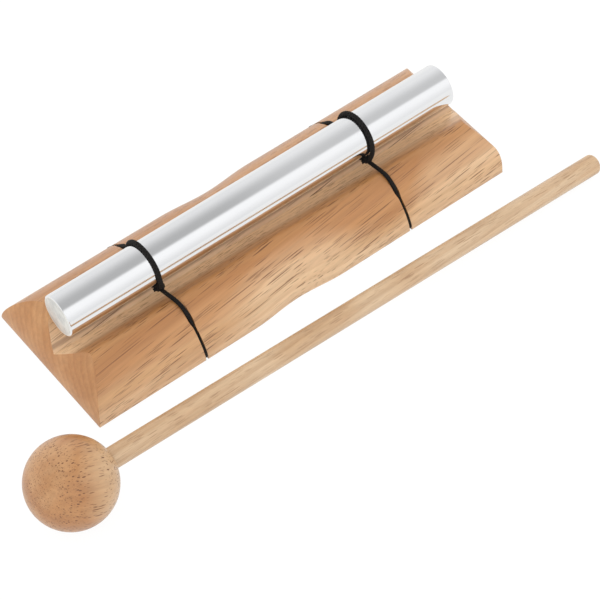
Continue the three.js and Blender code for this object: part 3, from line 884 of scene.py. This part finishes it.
# Fine filaments run along each yarn.
FILAMENT_SCALE = (1.2, 26, 1)
FILAMENT_NOISE = {"Scale": 1.0, "Detail": 3.0}
FILAMENT_RANGE = (0.3, 0.7)
FILAMENT_RELIEF = {"Strength": 0.5, "Distance": 0.02 * MM}
BRAID_BLACKS = ((0.003, 0.0025, 0.0025, 1), (0.014, 0.012, 0.011, 1))
BRAID_ROUGHNESS = (0.75, 0.55)
BRAID_SHEEN = {
    "Specular IOR Level": 0.25,
    "Sheen Weight": 0.06,
    "Sheen Roughness": 0.4,
    "Sheen Tint": (0.5, 0.47, 0.45, 1),
}

braid = bpy.data.materials.new("cord_braid")
braid.use_nodes = True
tree = braid.node_tree
tree.nodes.clear()
yarn = put(tree, "ShaderNodeUVMap", uv_map="yarn").outputs[0]
lengths = put(tree, "ShaderNodeMapping", {"Vector": yarn, "Scale": FILAMENT_SCALE}).outputs[0]
filament = put(tree, "ShaderNodeTexNoise", {"Vector": lengths, **FILAMENT_NOISE}).outputs["Fac"]
relief = put(tree, "ShaderNodeBump", {"Height": filament, **FILAMENT_RELIEF})
shader = put(
    tree,
    "ShaderNodeBsdfPrincipled",
    {
        "Base Color": blend(tree, ramp(tree, filament, *FILAMENT_RANGE), *BRAID_BLACKS),
        "Roughness": ramp(tree, filament, *FILAMENT_RANGE, *BRAID_ROUGHNESS),
        "Normal": relief.outputs[0],
        **BRAID_SHEEN,
    },
)
put(tree, "ShaderNodeOutputMaterial", {"Surface": shader.outputs[0]})

# Each loop is made in a front and a back half. The knot pulls the strand along the rod, from where it
# leaves the kerf's notch.
LEAVES_KERF_Y = 19.4 * MM
SPAN_POINTS = 9
step = BRAID_PITCH / BRAID_STEPS


def pulled(y):
    """The share of the knot's pull along the rod at a place across the base."""
    reach = LEAVES_KERF_Y + (y if y < KNOT_Y else -y)
    whole = LEAVES_KERF_Y + (KNOT_Y if y < KNOT_Y else -KNOT_Y)
    return max(reach / whole, 0)


for side, x in CORD_X.items():
    for end, place in ((-1, "front"), (1, "back")):
        points = []
        lying = pushed_in([-row[3] for row in CORD_ROUTE])
        for (y, z), row in zip(lying, CORD_ROUTE):
            pull = pulled(end * y) if z > NOTCH_HEIGHT else 0
            points.append([x + PULL[side] * pull, end * y, z, row[2]])
        span = []
        for y in np.linspace(0, SPAN_END, SPAN_POINTS):
            height = SPAN_HEIGHT + SPAN_SAG * y / SPAN_END
            span.append([x + PULL[side] * pulled(end * y), end * y, height, 1])
        route = smooth(span[:-1] + points[1:], step, False)
        outward = np.tile([1.0, 0.0, 0.0], (len(route), 1))
        outward_in_plane = np.cross(np.gradient(route[:, :3], axis=0), outward)
        piece = cord_piece(f"cord_{side}_{place}", [plait(route, outward_in_plane, False)])
        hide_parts(f"cord_loop_{side}")
        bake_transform(piece)

# The tie: a ring round the rod, a small closed trefoil on the strand for its knot, and a loose tail.
KNOT_LIFT = 1.1 * MM
RING_THICKNESS = 1.12
KNOT_RADIUS = 0.95 * MM
KNOT_WAVE = 0.4 * MM
KNOT_THICKNESS = 0.68
KNOT_LEAN = 1.3
KNOT_POINTS = 60
RING_POINTS = 48
TAIL_THICKNESS = 0.9
TAIL = Vector((-2.3 * MM, 0.6 * MM, -0.7 * MM))
TOP_SHIFT = {"left": -3.9 * MM, "right": -1.7 * MM}
UNDER_SHIFT = {"left": -4.4 * MM, "right": -3.8 * MM}
# Round the rod from the knot over the top: share of the turn, shares of the shifts at the knot, at
# the top and underneath, and share of the way out from the rod to the knot.
TIE_SHARES = [
    (0, 1, 0, 0, 1),
    (0.04, 0.85, 0.15, 0, 0.62),
    (0.09, 0.5, 0.5, 0, 0.16),
    (0.14, 0.2, 0.8, 0, 0),
    (0.4, 0, 1, 0, 0),
    (0.6, 0, 0.7, 0.3, 0),
    (0.75, 0, 0.3, 0.7, 0),
    (0.86, 0, 0, 1, 0),
    (0.93, 0.25, 0, 0.75, 0.2),
    (0.97, 0.7, 0, 0.3, 0.68),
    (1, 1, 0, 0, 1),
]
lie = ROD_RADIUS + CORD_RADIUS
knot_height = SPAN_HEIGHT + KNOT_LIFT + SPAN_SAG * -KNOT_Y / SPAN_END
drop = ROD_HEIGHT - knot_height
knot_angle = atan2(-drop, KNOT_Y)
reach = hypot(drop, KNOT_Y) - lie
for side, x in CORD_X.items():
    shares = np.array(TIE_SHARES)
    ring = []
    for turn in np.linspace(0, 1, RING_POINTS, endpoint=False):
        knot, top, under, out = (np.interp(turn, shares[:, 0], shares[:, k]) for k in range(1, 5))
        angle = knot_angle - tau * turn
        far = lie + out * reach
        shift = knot * PULL[side] + top * TOP_SHIFT[side] + under * UNDER_SHIFT[side]
        ring.append([x + shift, far * cos(angle), ROD_HEIGHT + far * sin(angle), 1])
    ring = smooth(ring, step, True)
    radial = ring[:, :3] - np.array([0, 0, ROD_HEIGHT])
    radial[:, 0] = 0
    strands = [plait(ring, radial, True, RING_THICKNESS)]
    middle = Vector((x + PULL[side], KNOT_Y, knot_height))
    trefoil = []
    for turn in np.linspace(0, tau, KNOT_POINTS, endpoint=False):
        far = KNOT_RADIUS + KNOT_WAVE * cos(3 * turn)
        trefoil.append(
            [
                middle.x + far * cos(2 * turn),
                middle.y + KNOT_LEAN * KNOT_WAVE * sin(3 * turn),
                middle.z + far * sin(2 * turn),
                1,
            ]
        )
    trefoil = smooth(trefoil, step * KNOT_THICKNESS, True)
    strands.append(plait(trefoil, trefoil[:, :3] - np.array(middle), True, KNOT_THICKNESS))
    tail = smooth([[*(middle + TAIL * t), 1] for t in (0, 0.5, 1)], step, False)
    strands.append(plait(tail, np.tile([0.0, 0.0, 1.0], (len(tail), 1)), False, TAIL_THICKNESS))
    piece = cord_piece(f"tie_{side}", strands)
    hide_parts(f"cord_tie_{side}")
    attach(piece, "ties")


# Mallet
# A turned hardwood ball with a blind hole, set on a length of sanded dowel. It lies on the table
# on its ball and the tip of its stick.
BALL_RADIUS = 15.9 * MM
BALL_PLACE = (-116.9 * MM, -50.5 * MM, BALL_RADIUS)
MALLET_TURN = radians(0.3)
STICK_RADIUS = 3.85 * MM
STICK_TIP = 233.4 * MM
STICK_ROUND = 1.6 * MM
SOCKET_START = 3 * MM
SOCKET_GAP = 0.2 * MM
STICK_SIDES = 64
STICK_STEPS = 8
STICK_SMOOTH = radians(40)
BALL_SEGMENTS = 96
BALL_RINGS = 64
BALL_SMOOTH = radians(30)
tip_edge = STICK_TIP - STICK_ROUND
tilt = asin(BALL_RADIUS / hypot(tip_edge, STICK_RADIUS)) - atan2(STICK_RADIUS, tip_edge)

bpy.ops.object.select_all(action="DESELECT")
length = STICK_TIP - SOCKET_START
bpy.ops.mesh.primitive_cylinder_add(
    vertices=STICK_SIDES,
    radius=STICK_RADIUS,
    depth=length,
    location=(SOCKET_START + length / 2, 0, 0),
    rotation=(0, pi / 2, 0),
)
stick = bpy.context.object
stick.name = "mallet_dowel"
bpy.ops.object.transform_apply(location=True, rotation=True, scale=True)
bpy.ops.object.mode_set(mode="EDIT")
mesh = bmesh.from_edit_mesh(stick.data)
bpy.ops.mesh.select_all(action="DESELECT")
for edge in mesh.edges:
    edge.select_set(all(v.co.x > STICK_TIP - MERGE_GAP for v in edge.verts))
bmesh.update_edit_mesh(stick.data)
bpy.ops.mesh.bevel(offset=STICK_ROUND, segments=STICK_STEPS, affect="EDGES")
bpy.ops.object.mode_set(mode="OBJECT")
stick.rotation_euler = (0, tilt, MALLET_TURN)
stick.location = BALL_PLACE
bpy.ops.object.transform_apply(location=True, rotation=True, scale=True)
bpy.ops.object.shade_smooth_by_angle(angle=STICK_SMOOTH)

STICK_PITH = (0, -40, 30)
STICK_TURN = (0, 0.02, 0.01)
STICK_SAP_NOISE = {"Scale": 0.03, "Detail": 1.0}
STICK_SAP_RANGE = (0.4, 0.65)


def vary_stick(tree, place, inputs):
    """Sapwood that comes and goes slowly."""
    drift = put(tree, "ShaderNodeTexNoise", {"Vector": place, **STICK_SAP_NOISE}).outputs["Fac"]
    tree.links.new(ramp(tree, drift, *STICK_SAP_RANGE), inputs["Sapwood And Painted Light Share"])


stick_values = {
    "Ring Spacing": 3.4,
    "Ring Strength": 0.22,
    "Pore Length": 36.0,
    "Pore Spacing": 0.7,
    "Pore Strength": 0.55,
    "Pale": (0.6, 0.42, 0.262, 1),
    "Warm": (0.53, 0.336, 0.184, 1),
    "Sapwood And Painted Light": (0.625, 0.45, 0.29, 1),
    "Dark": (0.25, 0.12, 0.055, 1),
}
dowel = wood_material("dowel_hardwood", STICK_PITH, STICK_TURN, stick_values, vary_stick)
stick.data.materials.append(dowel)
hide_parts("mallet_stick")
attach(stick, "mallet")

bpy.ops.object.select_all(action="DESELECT")
bpy.ops.mesh.primitive_uv_sphere_add(
    segments=BALL_SEGMENTS, ring_count=BALL_RINGS, radius=BALL_RADIUS, rotation=(0, pi / 2, 0)
)
ball = bpy.context.object
ball.name = "mallet_head"
bpy.ops.object.transform_apply(location=True, rotation=True, scale=True)
bpy.ops.mesh.primitive_cylinder_add(
    vertices=STICK_SIDES,
    radius=STICK_RADIUS + SOCKET_GAP,
    depth=BALL_RADIUS,
    location=(SOCKET_START - SOCKET_GAP + BALL_RADIUS / 2, 0, 0),
    rotation=(0, pi / 2, 0),
)
drill = bpy.context.object
bpy.ops.object.select_all(action="DESELECT")
ball.select_set(True)
bpy.context.view_layer.objects.active = ball
socket = ball.modifiers.new("socket", "BOOLEAN")
socket.operation = "DIFFERENCE"
socket.solver = "EXACT"
socket.object = drill
bpy.ops.object.modifier_apply(modifier="socket")
bpy.data.objects.remove(drill)
ball.rotation_euler = (0, tilt, MALLET_TURN)
ball.location = BALL_PLACE
bpy.ops.object.transform_apply(location=True, rotation=True, scale=True)
bpy.ops.object.shade_smooth_by_angle(angle=BALL_SMOOTH)

BALL_PITH_SHIFT = 30
BALL_TURN = (0, -0.44, 0.05)
NEAR_PALE_WAY = (0.7, -0.6, 0.2)
NEAR_PALE_RANGE = (-43.0, -34.0)
FAR_LIGHT_WAY = (-0.6, 0.5, 0.6)
FAR_LIGHT_RANGE = (60.0, 68.0, 0.0, 0.25)


def vary_ball(tree, place, inputs):
    """Paler towards the stick and, less, painted light on the top of the far side."""
    near = ramp(tree, vector_math(tree, "DOT_PRODUCT", place, NEAR_PALE_WAY, "Value"), *NEAR_PALE_RANGE)
    # Painted light: the top of the far side is paled.
    far = ramp(tree, vector_math(tree, "DOT_PRODUCT", place, FAR_LIGHT_WAY, "Value"), *FAR_LIGHT_RANGE)
    tree.links.new(math(tree, "MAXIMUM", near, far), inputs["Sapwood And Painted Light Share"])


ball_values = {
    "Ring Spacing": 2.3,
    "Ring Strength": 0.06,
    "Pore Length": 10.0,
    "Pore Spacing": 0.9,
    "Pore Strength": 1.0,
    "Pale": (0.475, 0.232, 0.091, 1),
    "Warm": (0.4, 0.175, 0.061, 1),
    "Sapwood And Painted Light": (0.57, 0.362, 0.198, 1),
    "Dark": (0.17, 0.07, 0.028, 1),
}
ball_x, ball_y, ball_z = (value / MM for value in BALL_PLACE)
ball_pith = (ball_x + BALL_PITH_SHIFT, ball_y, ball_z + BALL_PITH_SHIFT)
ball.data.materials.clear()
ball.data.materials.append(wood_material("ball_hardwood", ball_pith, BALL_TURN, ball_values, vary_ball))
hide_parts("mallet_ball")
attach(ball, "mallet")
